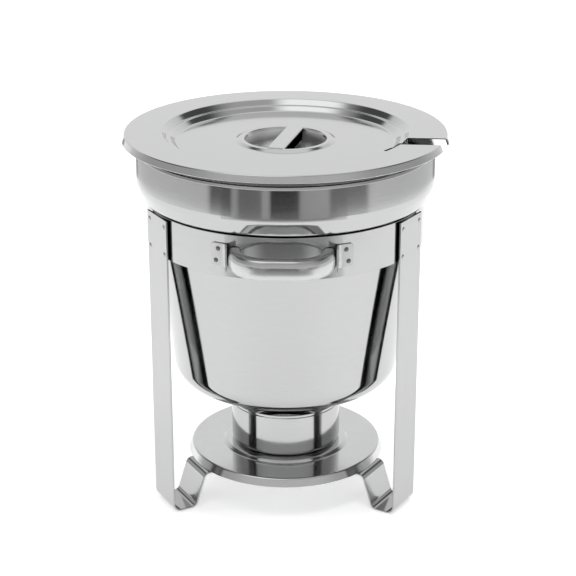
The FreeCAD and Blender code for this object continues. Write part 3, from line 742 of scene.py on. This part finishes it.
def make_lug(end, label, angle, hand):
    """A bent ear: an arc plate on the band, and a web along the grip's end."""
    verts, normals, faces = [], [], []
    out, side = heading(angle)
    web = GRIP_HALF + GRIP_BEND + GRIP_DEEP / 2 + LUG_GAUGE / 2
    radius = BAND_RADIUS + LUG_GAUGE / 2
    last = math.radians(LUG_ANGLE)
    first = math.asin(web / radius)
    points = [Vector((LUG_REACH, web))]
    foot = radius * math.cos(first)
    points.append(Vector((foot + LUG_BEND, web)))
    arc_start = first + LUG_BEND / radius
    for step in range(1, 6):
        share = step / 6
        start, mid = points[1], Vector((foot, web))
        stop = Vector((radius * math.cos(arc_start), radius * math.sin(arc_start)))
        points.append(start.lerp(mid, share).lerp(mid.lerp(stop, share), share))
    for step in range(0, 13):
        turn = arc_start + (last - arc_start) * step / 12
        points.append(Vector((radius * math.cos(turn), radius * math.sin(turn))))
    stations = []
    for index, point in enumerate(points):
        before, after = points[max(index - 1, 0)], points[min(index + 1, len(points) - 1)]
        along = (after - before).normalized()
        normal = Vector((along.y, -along.x)) * -1
        place = out * point.x + side * point.y * hand + UP * (GRIP_HEIGHT + LUG_LIFT)
        outward = (out * normal.x + side * normal.y * hand)
        left = (points[-1] - point).length
        cut = max(0.0, LUG_CORNER - left)
        lost = LUG_CORNER - math.sqrt(max(0.0, LUG_CORNER ** 2 - cut ** 2))
        stations.append((place, UP, outward, 1.0 - 2 * lost / LUG_TALL))
    section = round_rect(LUG_TALL, LUG_GAUGE, 0.6)
    if hand > 0:
        stations = stations[::-1]
    swept(f"{end}_{label}_ear", stations, section, "stand", ear_steel,
          [f"{end}_{label}_lug"])


for end, angle in (("front", 270), ("rear", 90)):
    make_grip(end, angle)
    heads = []
    for label, hand in (("left", -1), ("right", 1)):
        make_lug(end, label, angle, hand)
        for level in (-1, 1):
            spot, _ = heading(angle + hand * (LUG_RIVET_ANGLE - LUG_RIVET_LEAN * level))
            height = UP * (GRIP_HEIGHT + LUG_LIFT + LUG_RIVET_RISE * level)
            heads.append((spot * (BAND_RADIUS + LUG_GAUGE) + height, spot))
            heads.append((spot * (BAND_RADIUS - BAND_GAUGE) + height, -spot))
    rivets(f"{end}_handle_rivet_heads", heads, "stand", [f"{end}_handle_rivets"],
           handle_rivet_steel, 0.9)

# ---------------------------------------------------------------- burner

tray_low, tray_high = span("burner_tray")
TRAY_FLAT = tray_high.z - 3.0
tray_path = [
    (0, tray_high.z, 0),
    (60.5, tray_high.z, 2.0),
    (64.0, TRAY_FLAT, 2.0),
    (95.3, TRAY_FLAT, 2.6),
    (tray_high.x - 0.2, tray_low.z + 0.7, 0),
]
spun("tray_plate", sheet_outline(tray_path, longest=5.0), "stand", tray_steel,
     ["burner_tray"], segments=160)

cup_low, cup_high = span("fuel_holder")
cup_radius = cup_high.x
cup_path = [
    (0, cup_low.z + GAUGE, 0),
    (cup_radius - GAUGE - 0.5, cup_low.z + GAUGE, 5.0),
    (cup_radius - GAUGE - 0.5, cup_high.z - 3.4, 2.0),
    (cup_radius - GAUGE, cup_high.z - 2.0, 2.0),
    (cup_radius - GAUGE, cup_high.z - 0.5, 0),
]
spun("fuel_cup", sheet_outline(cup_path, longest=5.0), "fuel_body",
     cup_steel, ["fuel_holder"], segments=128)


# ---------------------------------------------------------------- studio

def staged(name, verts, faces, material):
    """A piece of the studio."""
    mesh = bpy.data.meshes.new(name)
    mesh.from_pydata(verts, [], faces)
    mesh.materials.append(material)
    card = bpy.data.objects.new(name, mesh)
    bpy.context.collection.objects.link(card)
    return card


def reflected_only(card):
    """Lets a card show in polished surfaces and nowhere else."""
    card.visible_camera = False
    card.visible_diffuse = False
    card.visible_shadow = False


floor_paint, paint_nodes, paint_links, paint = nodes_of("floor_paint")
paint.inputs["Roughness"].default_value = 0.9
paint.inputs["Specular IOR Level"].default_value = 0.0
paint.inputs["Emission Color"].default_value = (1, 1, 1, 1)
paint.inputs["Emission Strength"].default_value = 0.42
unevenness = paint_nodes.new("ShaderNodeTexNoise")
unevenness.inputs["Scale"].default_value = 3.0
whites = paint_nodes.new("ShaderNodeValToRGB")
whites.color_ramp.elements[0].color = (0.93, 0.93, 0.93, 1)
whites.color_ramp.elements[1].color = (0.96, 0.96, 0.96, 1)
paint_links.new(unevenness.outputs["Fac"], whites.inputs["Fac"])
paint_links.new(whites.outputs["Color"], paint.inputs["Base Color"])

FLOOR_HALF = 30.0
staged("studio_floor",
       [(-FLOOR_HALF, -FLOOR_HALF, 0), (FLOOR_HALF, -FLOOR_HALF, 0),
        (FLOOR_HALF, FLOOR_HALF, 0), (-FLOOR_HALF, FLOOR_HALF, 0)],
       [(0, 1, 2, 3)], floor_paint)


def ring_paint():
    """Glow of the room beyond the table by heading: shares of a turn from +X, and brightness."""
    material = bpy.data.materials.new("room_ring_paint")
    material.use_nodes = True
    nodes, links = material.node_tree.nodes, material.node_tree.links
    nodes.clear()
    place = nodes.new("ShaderNodeTexCoord")
    around = nodes.new("ShaderNodeTexGradient")
    around.gradient_type = "RADIAL"
    tones = nodes.new("ShaderNodeValToRGB")
    glow = nodes.new("ShaderNodeEmission")
    end = nodes.new("ShaderNodeOutputMaterial")
    links.new(place.outputs["Object"], around.inputs["Vector"])
    links.new(around.outputs["Fac"], tones.inputs["Fac"])
    links.new(tones.outputs["Color"], glow.inputs["Color"])
    links.new(glow.outputs["Emission"], end.inputs["Surface"])
    ramp = tones.color_ramp
    stops = []
    for front_angle, tone in ROOM_TONES:
        # The gradient is 0.5 on +X and grows anticlockwise; front_angle is 0 on -Y.
        turn = (front_angle - 90.0) / 360.0
        stops.append(((turn + 0.5) % 1.0, tone))
    stops.sort()
    ramp.elements[0].position, ramp.elements[1].position = 0.0, 1.0
    for element in (ramp.elements[0], ramp.elements[1]):
        element.color = (stops[0][1] * ROOM_LEVEL,) * 3 + (1,)
    for position, tone in stops:
        element = ramp.elements.new(position)
        element.color = (tone * ROOM_LEVEL,) * 3 + (1,)
    return material


ROOM_LEVEL = 1.15
ROOM_TONES = [
    (-150, 0.15), (-143, 0.66), (-90, 0.66), (-56, 0.62), (-52, 0.12), (-38, 0.10), (-36, 0.42),
    (-33, 0.40), (-31, 0.18), (-16, 0.20), (-14, 0.46), (-10, 0.44), (-9, 0.04), (10, 0.05),
    (12, 0.42), (31, 0.48), (34, 0.18), (60, 0.20), (64, 0.68), (90, 0.68), (143, 0.70),
    (152, 0.15),
]


def ring(name, inner, outer, start, stop, steps, height, material):
    """A flat part of a ring on the table; its angles count from the front towards +X."""
    verts, faces = [], []
    for step in range(steps + 1):
        turn = math.radians(start + (stop - start) * step / steps)
        for radius in (inner, outer):
            verts.append((radius * math.sin(turn), -radius * math.cos(turn), height))
    for step in range(steps):
        faces.append((2 * step, 2 * step + 1, 2 * step + 3, 2 * step + 2))
    reflected_only(staged(name, verts, faces, material))


def shade_paint():
    """Glow of the table's near edge: greyer outwards and towards the middle of the front."""
    material = bpy.data.materials.new("table_shade_paint")
    material.use_nodes = True
    tree = material.node_tree
    tree.nodes.clear()
    across, depth, _, radius = axes(tree)
    heading_share = computed(tree, "DIVIDE", computed(tree, "ABSOLUTE", across),
                             computed(tree, "ABSOLUTE", depth))
    front = ranged(tree, heading_share, 0.45, 1.0, 1.0, 0.0)
    outwards = ranged(tree, radius, SHADE_INNER, 0.85, 0.0, 1.0)
    strength = ranged(tree, computed(tree, "MULTIPLY", front, outwards), 0.0, 1.0, 0.93, 0.40)
    glow = tree.nodes.new("ShaderNodeEmission")
    end = tree.nodes.new("ShaderNodeOutputMaterial")
    tree.links.new(strength, glow.inputs["Strength"])
    tree.links.new(glow.outputs["Emission"], end.inputs["Surface"])
    return material


RING_INNER, RING_OUTER, SHADE_INNER = 1.12, 3.2, 0.58
ring("room_ring", RING_INNER, RING_OUTER, -152, 154, 90, 0.004, ring_paint())
ring("table_shade", SHADE_INNER, RING_INNER, -45, 45, 30, 0.003, shade_paint())

world = bpy.data.worlds.new("studio")
bpy.context.scene.world = world
world.use_nodes = True
sky = world.node_tree
toward = sky.nodes.new("ShaderNodeTexCoord")
parts = sky.nodes.new("ShaderNodeSeparateXYZ")
sky.links.new(toward.outputs["Generated"], parts.inputs["Vector"])


def mixed(share, first, second):
    """A value that goes from first to second with the share."""
    node = sky.nodes.new("ShaderNodeMix")
    node.data_type = "FLOAT"
    sky.links.new(share, node.inputs[0])
    for socket, value in ((node.inputs[2], first), (node.inputs[3], second)):
        if isinstance(value, float):
            socket.default_value = value
        else:
            sky.links.new(value, socket)
    return node.outputs[0]


def glow_toward(direction, wide, narrow):
    """1 within the cosine narrow of a direction, easing to 0 at the cosine wide."""
    unit = Vector(direction).normalized()
    aligned = sky.nodes.new("ShaderNodeVectorMath")
    aligned.operation = "DOT_PRODUCT"
    aligned.inputs[1].default_value = unit
    sky.links.new(toward.outputs["Generated"], aligned.inputs[0])
    return ranged(sky, aligned.outputs["Value"], wide, narrow, 0.0, 1.0)


# Walls: white behind the kettle, greyer beside it and behind the camera; a dark frieze above the
# back and side walls, a pale ceiling, and soft lights overhead and beyond the kettle.
walls = mixed(ranged(sky, parts.outputs["Y"], -0.75, -0.35, 0.0, 1.0), 0.62,
              ranged(sky, parts.outputs["Y"], 0.2, 0.92, 0.45, 0.92))
frieze_tone = mixed(ranged(sky, parts.outputs["Y"], 0.60, 0.70, 0.0, 1.0),
                    ranged(sky, parts.outputs["Y"], -0.35, 0.0, 0.50, 0.08), 0.80)
frieze = mixed(ranged(sky, parts.outputs["Z"], 0.44, 0.52, 0.0, 1.0), walls, frieze_tone)
room = mixed(ranged(sky, parts.outputs["Z"], 0.72, 0.88, 0.0, 1.0), frieze, 0.50)
lit_room = mixed(glow_toward((-0.26, -0.24, 0.93), 0.90, 0.975), room, 1.35)
lit_room = mixed(glow_toward((0.0, 0.36, 0.93), 0.93, 0.965), lit_room, 0.90)
sky.links.new(lit_room, sky.nodes["Background"].inputs["Color"])
sky.nodes["Background"].inputs["Strength"].default_value = 1.0


def softbox(name, centre, facing, size, power):
    """A soft lamp that lights the floor and doesn't show in the polished steel."""
    light = bpy.data.lights.new(name, "AREA")
    light.shape = "RECTANGLE"
    light.size, light.size_y = size
    light.energy = power
    lamp = bpy.data.objects.new(name, light)
    bpy.context.collection.objects.link(lamp)
    lamp.location = centre
    lamp.rotation_euler = (Vector(centre) - Vector(facing)).to_track_quat("Z", "Y").to_euler()
    lamp.visible_glossy = False
    return lamp


softbox("top_light", (0.28, -0.45, 1.9), (0.05, 0, 0), (0.8, 0.6), 7)
softbox("left_light", (-1.9, 0.1, 1.7), (0, 0, 0), (1.2, 1.2), 7)
softbox("right_light", (1.9, 0.2, 1.7), (0, 0, 0), (1.2, 1.2), 5)
softbox("back_light", (0.0, 2.6, 2.6), (0, 1.0, 0), (4.0, 1.2), 25)

# ---------------------------------------------------------------- camera

VIEW_TURN, VIEW_TILT, VIEW_DISTANCE = math.radians(1.4), math.radians(20.68), 1.640
aim = Vector((0.0023, 0.0, 0.2069))
camera_data = bpy.data.cameras.new("camera")
camera_data.lens = 102.84
camera_data.sensor_width = 36.0
camera = bpy.data.objects.new("camera", camera_data)
bpy.context.collection.objects.link(camera)
away = Vector((
    math.sin(VIEW_TURN) * math.cos(VIEW_TILT),
    -math.cos(VIEW_TURN) * math.cos(VIEW_TILT),
    math.sin(VIEW_TILT)))
camera.location = aim + away * VIEW_DISTANCE
camera.rotation_euler = away.to_track_quat("Z", "Y").to_euler()
bpy.context.scene.camera = camera
bpy.context.scene.view_settings.view_transform = "Standard"
